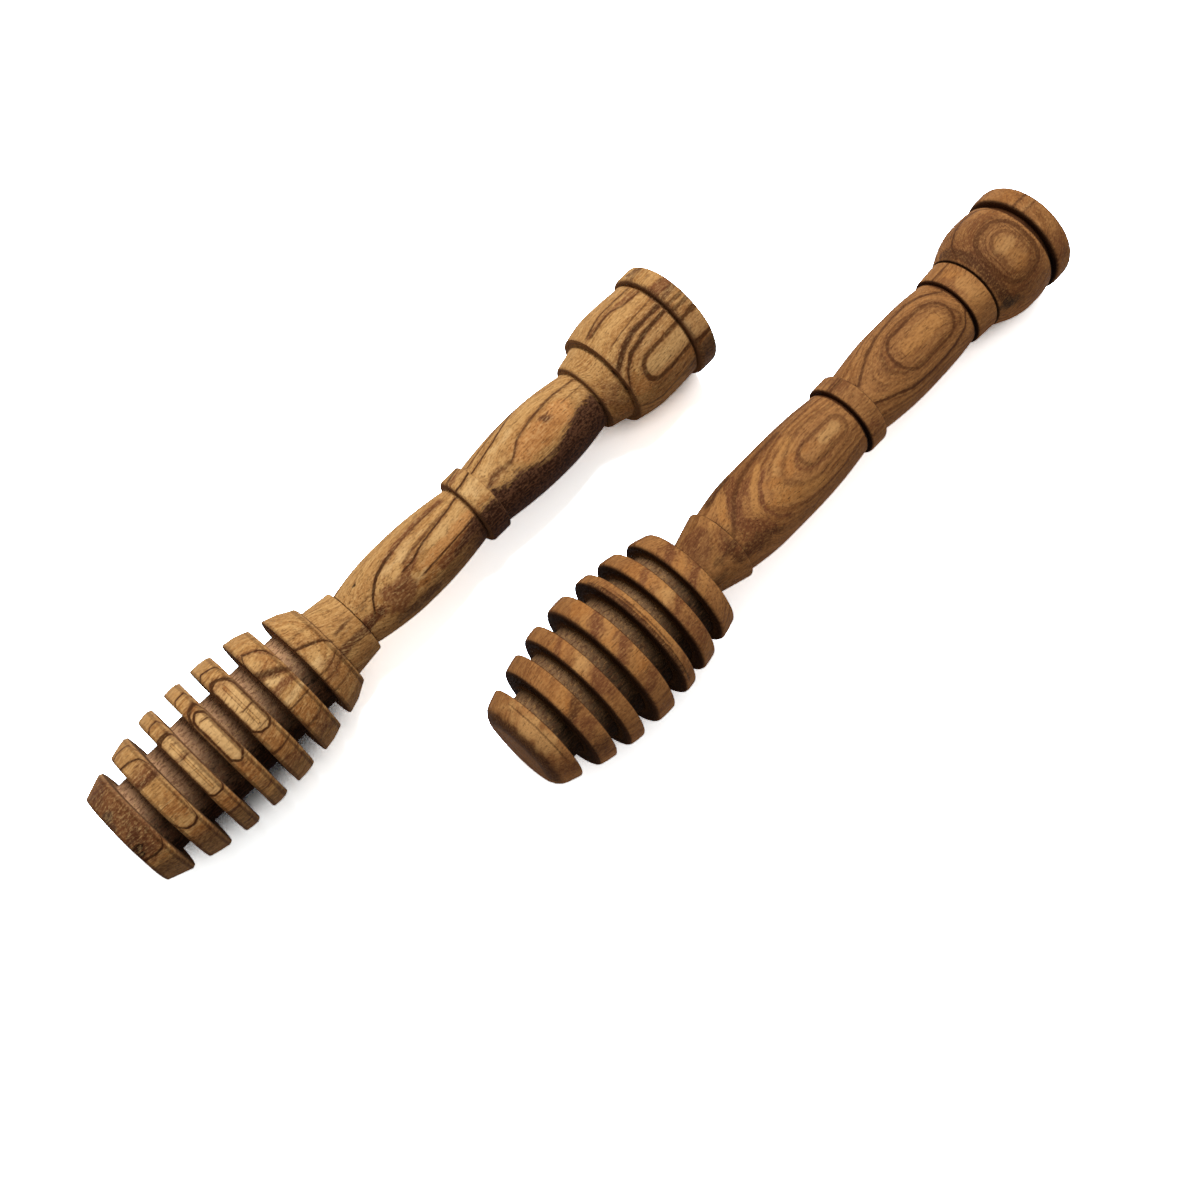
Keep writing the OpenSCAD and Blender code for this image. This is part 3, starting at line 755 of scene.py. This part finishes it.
    "lineForce": (0.7, 1, 0.8, 1),
    "headLength": 54,
    "wallFrom": 0.65,
    "edgeShadeForce": 0.6,
    "insideLight": 0.5,
    "burntShare": 0.5,
    "grit": 1.1,
}
darkFigure = {
    "tilt": [(0, 34), (30, 30), (44, 27), (52, 23), (60, 17), (68, 12), (76, 12), (88, 7), (98, 6),
             (108, 4), (118, 1), (128, 12), (136, 35), (144, 10), (152, 4), (161, -28)],
    "lift": [(0, 0.6), (30, -1.9), (52, -4), (60, -4.9), (68, -2.7), (76, -0.8), (88, 0.6), (108, 1.4),
             (118, 2.3), (128, 2), (136, 0.6), (144, 1.6), (152, 0.8), (161, -2.8)],
    "lanes": [
        [(0.3, 0.3, 0.5, (62, 55), (68, 60), (80, 63), (96, 58)),
         (0.3, 0.35, 0.6, (97.3, 32), (101.9, 33)),
         (0.35, 0.35, 0.75, (102, 6), (105.2, 19), (109, 32), (113.9, 41), (120.1, 48), (124.7, 47),
          (128.1, 37), (131.8, 15)),
         (0.15, 0.2, 0.7, (132.7, 43), (138.4, 41)),
         (0.3, 0.35, 0.8, (139.5, 32), (141.6, 49), (145, 57), (149.1, 61), (152.3, 56), (153.7, 35)),
         (0.25, 0.3, 0.6, (155.3, 18), (160.8, 17))],
        [(0.6, 0.6, 0.6, (60, -14), (62.5, 2), (66, 22), (70, 36), (76, 46), (84, 50)),
         (0.3, 0.35, 0.8, (102, -28), (105, -36), (111.1, -50), (116.9, -55), (124.9, -54), (129.5, -46),
          (132, -25)),
         (0.2, 0.25, 0.4, (155.3, 5), (160.8, 5))],
    ],
    "loops": [(81.5, 94.6, 5, -24, 1.9, 0, 0.35, 0.45), (111.6, 129, 23, -36, 4.4, 0, 0.3, 0.7),
              (141.8, 152.2, 25, -45, 4.6, 0, 0.5, 0.64), (144.2, 150.4, 10, -38, 2.9, 0, 0.35, 0.34)],
    "cracks": [(3.9, -55, 38, 0.5), (138.7, -100, 100, 0.7), (32.75, -80, 44, 0.9), (33.4, -40, 26, 0.7),
               (59.7, -18, 45, 0.8), (49.6, -90, 90, 0.5)],
    "strokes": {
        "amber": [(0.9, 0.9, (9, -8), (13.3, 2)), (1.3, 0.7, (16.3, 0), (20, 10)),
            (0.9, 0.8, (23.5, 20), (28.2, 34)), (1.1, 0.9, (23.5, -4), (28.2, 10)),
            (0.9, 0.6, (23.5, -28), (28.2, -17)), (0.6, 0.8, (34.2, 30), (34.2, -35)),
            (1.4, 0.9, (37.9, -8), (41.5, -1)), (0.8, 0.8, (45, -2), (49.4, 9)),
            (0.8, 0.6, (45, -28), (49.4, -18)), (0.8, 0.9, (54, -20), (56.3, 0), (58.8, 20)),
            (0.9, 0.9, (64.5, 40), (61.8, 19), (60.4, 2), (59.9, -12)),
            (0.7, 0.9, (74.6, 29), (70.8, 14), (68.1, -1), (67, -12)),
            (1.7, 0.8, (82.5, 22), (77.6, 7), (74, -8), (73.1, -20), (76.2, -33), (82.1, -46)),
            (2, 0.7, (116, -4), (125, -6)), (1.6, 0.8, (146.6, 2), (147.4, -30)),
            (2.2, 0.5, (135.6, 20), (135.6, -30))],
        "cream": [(0.3, 0.4, (50.2, 22), (50.2, -26)), (1.2, 0.9, (88, -9), (92, -8))],
        "russet": [(1, 0.9, (16.3, -18), (20, -8)), (0.8, 0.7, (16.3, 22), (20, 30)),
            (0.9, 0.95, (23.5, 9), (28.2, 22)), (0.9, 0.95, (23.5, -17), (28.2, -5)),
            (1.3, 0.7, (23.5, -48), (28.2, -38)), (0.8, 0.8, (37.8, -23), (41.6, -16)),
            (0.8, 0.7, (37.8, 13), (41.6, 20)), (0.9, 0.9, (45, 12), (49.4, 25)),
            (0.9, 0.9, (45, -16), (49.4, -6)), (1.6, 0.9, (57, -18), (58.6, -26)),
            (1.8, 0.8, (53, 36), (56, 30)),
            (1.5, 1, (69, 50), (66.3, 25), (64, 7), (62.7, -7), (63.6, -20), (65.8, -32), (67.2, -44)),
            (0.45, 0.9, (74.6, 19), (71.3, 6), (69.2, -8), (68.5, -22), (69.7, -38), (72.4, -50)),
            (0.4, 0.7, (84.8, 9), (80.7, -3), (79.6, -13), (81.6, -24), (87, -31)),
            (2.6, 0.5, (51, 2), (58, -6)), (5, 0.3, (147, 40), (147, -60))],
        "umber": [(1.1, 0.8, (9, -21), (13.3, -13)), (0.5, 0.8, (32.3, 50), (32.3, -60)),
            (1, 0.8, (0.3, 70), (0.3, -80)), (1.6, 0.6, (58, -42), (65, -48)),
            (1.4, 0.7, (63, 58), (69, 64)), (5, 0.25, (146, 30), (146, -50)),
            (2.4, 0.3, (99.6, 40), (99.6, -30)), (3, 0.3, (52, 12), (58, 0)),
            (0.3, 0.6, (97.6, 38), (101.6, 39)), (0.25, 0.5, (97.6, 18), (101.6, 17)),
            (0.25, 0.5, (97.6, -34), (101.6, -33)),
            # a dark band along the head side of the ball: partly dark wood, partly painted shade
            (1.2, 0.9, (140.2, 60), (140.6, 20), (140.2, -20), (141, -62))],
    },
    "spots": {
        "cream": [(3.2, -6, 2.4, 8.5, 0.75), (18.6, 3, 2.4, 2.6, 0.6), (39.7, -7, 2.2, 2.2, 0.6),
            (77, 10, 4, 0.6, 0.4, 20), (135.6, -6, 2.6, 4, 0.3), (147, -4, 2.8, 1.9, 0.65),
            (157.8, 7, 1.8, 0.4, 0.6)],
        "ember": [(11.3, 5, 2.8, 5.5, 0.45), (11, -13, 2.6, 1.8, 0.9, 20), (18.4, 25, 2.4, 3.2, 0.6),
            (26.5, 34, 3, 3, 0.75, 30), (25.7, -2, 3.4, 1.3, 0.6, 42), (26, -27, 3.2, 1.5, 0.7, 42),
            (33.4, -8, 1.6, 4, 0.45), (39.6, 24, 2.6, 4.6, 0.7), (46.4, 4, 3.2, 2.2, 0.55, 55),
            (57.4, 2, 2.6, 0.9, 0.6, 45), (61.8, 14, 2, 1.2, 0.6, 50), (79, -1, 8, 1.9, 0.7, 8),
            (74, -27, 6, 0.7, 0.6, -24), (135.6, 25, 2.4, 1.8, 0.6), (147.3, -30, 3, 1.3, 0.7),
            (158, 28, 2.8, 3.2, 0.5)],
        "russet": [(3.4, -58, 3.4, 3.4, 0.5), (10.9, -32, 3, 4.2, 0.7), (18.2, -20, 2.4, 3.4, 0.8),
            (26.3, 14, 3.6, 1.6, 0.5, 42), (25.6, -14, 3.4, 1.3, 0.6, 42), (33.4, 22, 2, 4, 0.5),
            (39.6, -40, 2.8, 4.6, 0.6), (47.6, 20, 4, 1.2, 0.6, 58), (46.6, -12, 3.4, 1, 0.5, 58),
            (53.5, 22, 4, 1.4, 0.7, 25), (62, -40, 5, 3, 0.8), (75, 44, 10, 1.8, 0.5),
            (69.2, 22, 3.4, 0.9, 0.7, 45), (99.6, -50, 2.6, 1.8, 0.6), (99.6, 30, 2.8, 3, 0.6),
            (105, -18, 3, 1.4, 0.5, -20), (133.4, 20, 1.6, 5, 0.5), (142, 10, 2.6, 14, 0.6),
            (148, 40, 4, 1.6, 0.5), (157.6, -45, 3.2, 4.6, 0.6)],
        "umber": [(11, -62, 3.2, 3.8, 0.6), (18.4, -48, 2.6, 4.2, 0.15), (26.3, -50, 3.2, 4, 0.15),
            (33.3, -50, 2.2, 4, 0.15), (47, -55, 3.4, 3.8, 0.15), (57.2, -22, 4.2, 1.5, 0.7, 30),
            (66, -48, 5, 2, 0.7, -10), (84, -66, 14, 1.4, 0.2), (111.2, -11, 1.2, 1, 0.65),
            (109, -64, 7, 1.2, 0.2), (136, -45, 2.8, 2.6, 0.4), (147, -58, 5, 1.8, 0.45)],
        "smoke": [(52.5, -52, 2.6, 1.6, 0.45), (140.8, -62, 3, 2.4, 0.75)],
    },
    "heartEdge": [(0, -100), (161, -99)],
    "heartForce": [(0, 0), (161, 0.01)],
    "ringVeins": [(9.18, 0.4, 0.5, 0.4, 78, 98), (8.46, 0.3, 0.45, 0.6, 74, 98),
        (7.6, 0.2, 0.3, 0.4, 74, 98), (6.65, 0.3, 0.6, 0.5, 74, 98), (10.21, 0.25, 0.5, 0.75, 103, 134),
        (9.5, 0.15, 0.3, 0.4, 103, 134), (11.6, 0.3, 0.6, 0.75, 141, 153),
        (12.6, 0.2, 0.4, 0.4, 141, 153)],
    "colours": {
        "pale": (166, 116, 68), "middle": (130, 84, 46), "band": (96, 58, 32), "vein": (72, 40, 20),
        "amber": (172, 121, 68), "ember": (160, 105, 54), "russet": (106, 62, 37), "umber": (70, 41, 25),
        "cream": (190, 144, 90), "smoke": (56, 43, 33), "pit": (24, 15, 10), "heart": (90, 58, 38),
        "heartStreak": (60, 36, 22), "coreLight": (124, 94, 66), "coreInPaintedShade": (40, 28, 20),
        "wallGrainAndShade": (50, 31, 21), "bevelWornAndLit": (170, 130, 92), "burnt": (30, 15, 8),
    },
    "lineForce": (1, 1, 0, 1),
    "headLength": 49.5,
    "wallFrom": 0.5,
    "edgeShadeForce": 0.25,
    "insideLight": 0.2,
    "burntShare": 1,
    "grit": 0.85,
}
# Noises in the wood: how much they are pressed together along the axis, across it and up, then
# scale, detail and roughness. Those of the rings go along the axis, along a ring and outward.
looseGrain = {
    "drift": ((0.06, 0.11, 0.11), 1, 2, 0.5),
    "wobble": ((0.3, 0.6, 0.6), 1, 2, 0.5),
    "jitter": ((1.1, 2, 2), 1, 2, 0.5),
    "blotch": ((0.12, 0.2, 0.2), 1, 3, 0.55),
    "grit": ((1, 1.5, 1.5), 1.4, 3, 0.75),
    "rungs": ((0.5, 1.3, 1.3), 1.5, 2, 0.6),
}
ringGrain = {
    "fibre": ((0.06, 1, 2), 1.6, 3, 0.65),
    "hair": ((0.2, 1.9, 3.2), 1.5, 2, 0.7),
    "pores": ((0.4, 2.4, 4), 1.2, 1, 0.5),
}
# how the drawn figure is painted: how far jitter and wobble move a line, and how far its
# shade reaches, in widths of the line
strokeLook = {
    "veinWander": (1, 1.4),
    "loopWander": (0.8, 1.2),
    "burnWander": (1.2, 0.8),
    "shade": 4,
    "loopInside": 3,
    "loopOutside": 7,
    "patch": 0.85,
    "crackWidth": 0.15,  # mm
    "crackEnd": 10,  # degrees
}
shine = {"bumpStrength": 0.8, "bumpDepth": 0.2, "specular": 0.05}


def oliveWood(name, figure, length, headAt, turned):
    material = bpy.data.materials.new(name)
    shop = Shop(material)
    paint = {shade: colour(*screen) for shade, screen in figure["colours"].items()}
    coords = shop.node("ShaderNodeTexCoord", output="Object")
    place = {"Vector": coords, "Location": headAt, "Rotation": turned, "Scale": (mm, mm, mm)}
    place = shop.node("ShaderNodeMapping", place, vector_type="TEXTURE")
    split = shop.node("ShaderNodeSeparateXYZ", {0: place}).socket.node
    along, across, up = (Amount(shop, output) for output in split.outputs)
    share = (along / length).clamp()

    drift, wobble, jitter, blotch, grit, rungs = (
        shop.noise((along, across, up), *noise) for noise in looseGrain.values()
    )
    tilt = shop.curveAlong(share, length, figure["tilt"]) * (math.pi / 180)
    lift = shop.curveAlong(share, length, figure["lift"])
    tiltSine, tiltCosine = tilt.sine(), tilt.cosine()
    sideways = across * tiltCosine + up * tiltSine
    outward = up * tiltCosine - across * tiltSine + trunk
    ring = (sideways * sideways + outward * outward).root() - trunk + lift
    ring = ring + (drift - 0.5) * 0.8 + (wobble - 0.5) * 0.35
    # fibres follow the rings, so their noise is long along the axis and short across them
    fibre, hair, pores = (
        shop.noise((along, sideways, ring), *noise) for noise in ringGrain.values()
    )
    pores = shop.ease(pores, 0.62, 0.72)

    broad = shop.lineNoise(ring + wobble * 0.5, 0.5, 2, 0.55)
    narrow = shop.lineNoise(ring + wobble * 0.3, 2.1, 3, 0.6)
    tone = shop.ease(broad * 0.5 + narrow * 0.38 + blotch * 0.3 - 0.09, 0.36, 0.66)
    wood = shop.blend(tone, paint["middle"], paint["pale"])

    def coat(share, shade):
        nonlocal wood
        wood = shop.blend(share, wood, paint[shade])

    streaks = shop.ease(0.5 - (fibre - 0.5) * 1.1 - (narrow - 0.5) * 0.6, 0.5, 0.85)
    handle = shop.ease(along, figure["headLength"] - 5, figure["headLength"] + 5) * 0.6 + 0.4
    coat(streaks * handle * 0.75, "band")

    # patches of colour, with edges that fray along the fibres
    fray = (fibre - 0.5) * 0.8 + (blotch - 0.5) * 0.6 + (jitter - 0.5) * 0.25
    for kind in colourKinds[:-1]:
        patch = shop.ease(shop.readMark(kind) * (fray + 1), 0.02, 0.95)
        coat(patch * strokeLook["patch"], kind)

    # listed veins, each a dark line in a brown shade
    def wander(mark, reach):
        return mark + (jitter - 0.5) * reach[0] + (wobble - 0.5) * reach[1]

    lines, shades = [], []
    for lane in range(len(figure["lanes"])):
        gap = abs(wander(shop.readMark("lane%d" % lane), strokeLook["veinWander"]))
        force = shop.readMark("force%d" % lane)
        lines.append(((1.5 + (blotch - 0.5) * 1.4 - gap) * 1.2).clamp() * force)
        shades.append((1 - gap / strokeLook["shade"]).clamp() * force)
    deep = wander(shop.readMark("loop"), strokeLook["loopWander"])
    force = shop.readMark("loopForce")
    inside = shop.ease(deep * -1, 0, strokeLook["loopInside"]) * force
    outside = shop.ease(deep, 0, 1) * (1 - deep / strokeLook["loopOutside"]).clamp() * force
    coat(inside * (fibre + 0.2).clamp() * figure["insideLight"], "cream")
    coat(outside * (blotch + 0.1).clamp() * 0.7, "russet")
    gap = abs(deep)
    lines.append(((1.6 + (blotch - 0.5) * 1.4 - gap) * 1.4).clamp() * force)
    shades.append((1 - gap / strokeLook["shade"]).clamp() * force)
    for height, above, below, strength, start, end in figure["ringVeins"]:
        gap = ring - height + (jitter - 0.5) * 0.25
        line = ((above - gap) / above).least((gap + below) / below).clamp()
        line = line * ((along - start) / 2).least((end - along) / 2).clamp() * strength
        lines.append(line * line * 0.7)
        shades.append(line)
    veins, halo = reduce(Amount.most, lines), reduce(Amount.most, shades)
    fade = shop.ease(blotch * 0.5 + jitter * 0.5, 0.3, 0.5) * 0.2 + 0.8
    coat(halo * (fibre * 0.9 + 0.4) * 0.85, "band")
    coat(veins * fade, "vein")

    # dark heartwood on the lower limb
    deep = shop.readMark("heart") + (wobble - 0.5) * 2 + (fibre - 0.5) * 5 + (hair - 0.5) * 2
    heart = shop.ease(deep, -1.0, 0.8) * shop.readMark("heartForce")
    heartTone = shop.ease(fibre * 0.4 + hair * 0.6 + (grit - 0.5) * 1.2, 0.38, 0.6)
    wood = shop.blend(heart, wood, shop.blend(heartTone, paint["heartStreak"], paint["heart"]))

    coat(pores * 0.4, "vein")
    pit = shop.ease(shop.readMark("pit") + (jitter - 0.5) * 0.5, 0.15, 0.4)
    coat(pit * 0.95, "pit")
    side = shop.math("ARCTAN2", across, up)
    degrees = side * (180 / math.pi)
    crack = 0
    end = strokeLook["crackEnd"]
    for place, low, high, strength in figure["cracks"]:
        gap = abs(along - place + (wobble - 0.5) * 0.3 + (jitter - 0.5) * 0.1)
        gap = gap / strokeLook["crackWidth"]
        reach = ((degrees - low) / end).least((high - degrees) / end).clamp()
        crack = ((1.5 + (blotch - 0.5) * 1.6 - gap).clamp() * reach * strength).most(crack)
    coat(crack * 0.85, "vein")

    # light and dark specks, hairs along the fibres
    speck = ((hair - 0.5) * 1.3 + (grit - 0.5) * 1.5) * figure["grit"]
    bare = 1 - (veins * 0.7).most(heart * 0.9)
    coat((speck * 2.0).clamp() * bare * 0.55, "cream")
    coat((speck * -2.2).clamp() * 0.6, "umber")

    # groove floors keep dust and torn fibres; painted shade makes them darker on the side away from the
    # lamp and toward the table
    core = shop.readMark("core")
    # share of painted light by side: 1 on the lamp's side, 0 on the shaded side and underneath; bevels,
    # outlines and burnt lines use it too
    paintedLightSide = shop.ease(side + (blotch - 0.5) * 2 + (rungs - 0.5) * 1.6, -1.3, 0.5)
    coreWood = shop.blend(paintedLightSide, paint["coreInPaintedShade"], paint["coreLight"])
    coreWood = shop.blend((rungs * 10 - 4.9).clamp() * 0.65, coreWood, paint["umber"])
    coreWood = shop.blend((grit * 12 - 6.4).clamp() * 0.4 * paintedLightSide, coreWood, paint["cream"])
    wood = shop.blend(core, wood, coreWood)
    # walls between discs: darker end grain, plus painted shade
    endGrainAndShade = shop.readMark("endGrainAndShade")
    coat(endGrainAndShade * (0.97 - (grit - 0.5).most(0) * 0.9) * (1 - core), "wallGrainAndShade")

    # rubbed bevels with a painted highlight, painted shade along the outlines of the discs, burnt lines
    bevelWornAndLit = shop.readMark("bevelWornAndLit")
    # rubbed bevels: lighter from wear, plus a painted highlight that grows on the lamp's side
    coat(bevelWornAndLit * (grit * 1.4 - 0.2).clamp() * 0.75 * paintedLightSide, "bevelWornAndLit")
    # painted shade: dark lines along the disc edges, stronger on the shaded side
    outline = shop.ease(shop.readMark("outline") * (0.55 + blotch) + (jitter - 0.5) * 0.6, 0.25, 0.7)
    outline = outline * (1.15 - paintedLightSide * 0.5).clamp()
    coat(outline * figure["edgeShadeForce"], "vein")
    singe = shop.ease(wander(shop.readMark("burn"), strokeLook["burnWander"]), 0.3, 0.75)
    # burnt lines: the change from black on the shaded side to brown on the lamp's side is painted shade
    wood = shop.blend(singe * 0.95, wood, shop.blend(paintedLightSide, paint["burnt"], paint["vein"]))

    turning = shop.lineNoise(along, 5.5, 2, 0.7)
    relief = fibre * 0.4 + hair * 0.4 + turning * 0.14 + grit * 0.5 - pores * 0.4 - veins * 0.25
    relief = relief + core * rungs * 1.2 - pit * 2 - crack * 1.4
    bump = {"Strength": shine["bumpStrength"], "Distance": shine["bumpDepth"] * mm, "Height": relief}
    surface = {
        "Base Color": wood,
        "Roughness": 0.6 + (fibre - 0.5) * 0.2 + core * 0.25 + endGrainAndShade * 0.25,
        "Normal": shop.node("ShaderNodeBump", bump),
        "Specular IOR Level": shine["specular"],
    }
    shop.node("ShaderNodeOutputMaterial", {0: shop.node("ShaderNodeBsdfPrincipled", surface)})
    return material


def makeDipper(node, form, figure, slot):
    corners, marks = cornersOf(form)
    outline = outlineOf(corners)
    piece = turnOnLathe(node + "_turned", outline)
    markFinish(piece, form, figure, marks)
    drawFigure(piece, figure)
    roughen(piece, node + "_form")
    kind = node.split("_")[0]
    headAt, turned = layDown(piece, node, mounts[kind + "_head_end"], mounts[kind + "_knob_end"])
    piece.data.materials.append(oliveWood(slot, figure, marks["length"], headAt, turned))
    print(node, "turned:", len(piece.data.vertices), "points,", len(outline), "along the outline")


def makeFloor():
    bpy.ops.mesh.primitive_plane_add(size=stage["floorSize"] * mm, location=(0, 0, 0))
    floor = bpy.context.active_object
    floor.name = "table"
    material = bpy.data.materials.new("white table")
    shop = Shop(material)
    camera = shop.ray("Is Camera Ray")
    mirror = shop.ray("Is Glossy Ray").most(shop.ray("Is Transmission Ray"))
    tint = shop.blend(mirror, stage["floorColourForLight"], stage["floorColourMirrored"])
    tint = shop.blend(camera, tint, stage["floorColour"])
    reach = {"Distance": stage["paintedShadowReach"] * mm}
    samples = stage["paintedShadowSamples"]
    openness = shop.node("ShaderNodeAmbientOcclusion", reach, output=1, samples=samples)
    # painted contact shadow: the table is darkened for the camera where ambient occlusion finds it hidden
    dark = (1 - shop.ease(openness, *stage["paintedShadowOpenness"])) * camera
    tint = shop.blend(dark, tint, stage["paintedShadowColour"])
    matt = shop.node("ShaderNodeBsdfDiffuse", {0: tint})
    glow = {0: (1, 1, 1, 1), 1: (camera - dark).clamp() * stage["floorGlow"]}
    both = shop.node("ShaderNodeAddShader", {0: matt, 1: shop.node("ShaderNodeEmission", glow)})
    shop.node("ShaderNodeOutputMaterial", {0: both})
    floor.data.materials.append(material)


def setLights():
    toKey = Vector(stage["keyFrom"])
    bpy.ops.object.light_add(type="AREA", location=toKey * mm)
    key = bpy.context.active_object
    key.name = "window light"
    key.data.shape = "DISK"
    key.data.size = stage["keySize"] * mm
    key.data.energy = stage["keyWatts"]
    key.rotation_euler = (-toKey).to_track_quat("-Z", "Y").to_euler()
    scene = bpy.context.scene
    scene.world = scene.world or bpy.data.worlds.new("room")
    shop = Shop(scene.world)
    direct = shop.ray("Is Camera Ray").most(shop.ray("Is Transmission Ray"))
    level = shop.node("ShaderNodeMapRange", {0: direct, 3: stage["skyLight"], 4: 1})
    tone = shop.blend(direct, stage["skyColour"], (1, 1, 1, 1))
    sky = shop.node("ShaderNodeBackground", {0: tone, 1: level})
    shop.node("ShaderNodeOutputWorld", {0: sky})


def setCamera():
    turn = [math.radians(angle) for angle in stage["cameraTurn"]]
    place = Vector(mounts["pale_head_end"]) + Vector(stage["cameraFromHead"]) * mm
    bpy.ops.object.camera_add(location=place, rotation=turn)
    camera = bpy.context.active_object
    camera.data.lens = stage["lens"]
    camera.data.sensor_width = stage["sensor"]
    camera.data.sensor_fit = "HORIZONTAL"
    camera.data.clip_start = stage["clipStart"]
    bpy.context.scene.camera = camera


setCamera()
makeFloor()
setLights()
print("camera, table and lights are set")
makeDipper("pale_dipper", paleForm, paleFigure, "pale_olive_wood")
makeDipper("dark_dipper", darkForm, darkFigure, "dark_olive_wood")

bpy.context.scene.view_settings.view_transform = "Standard"
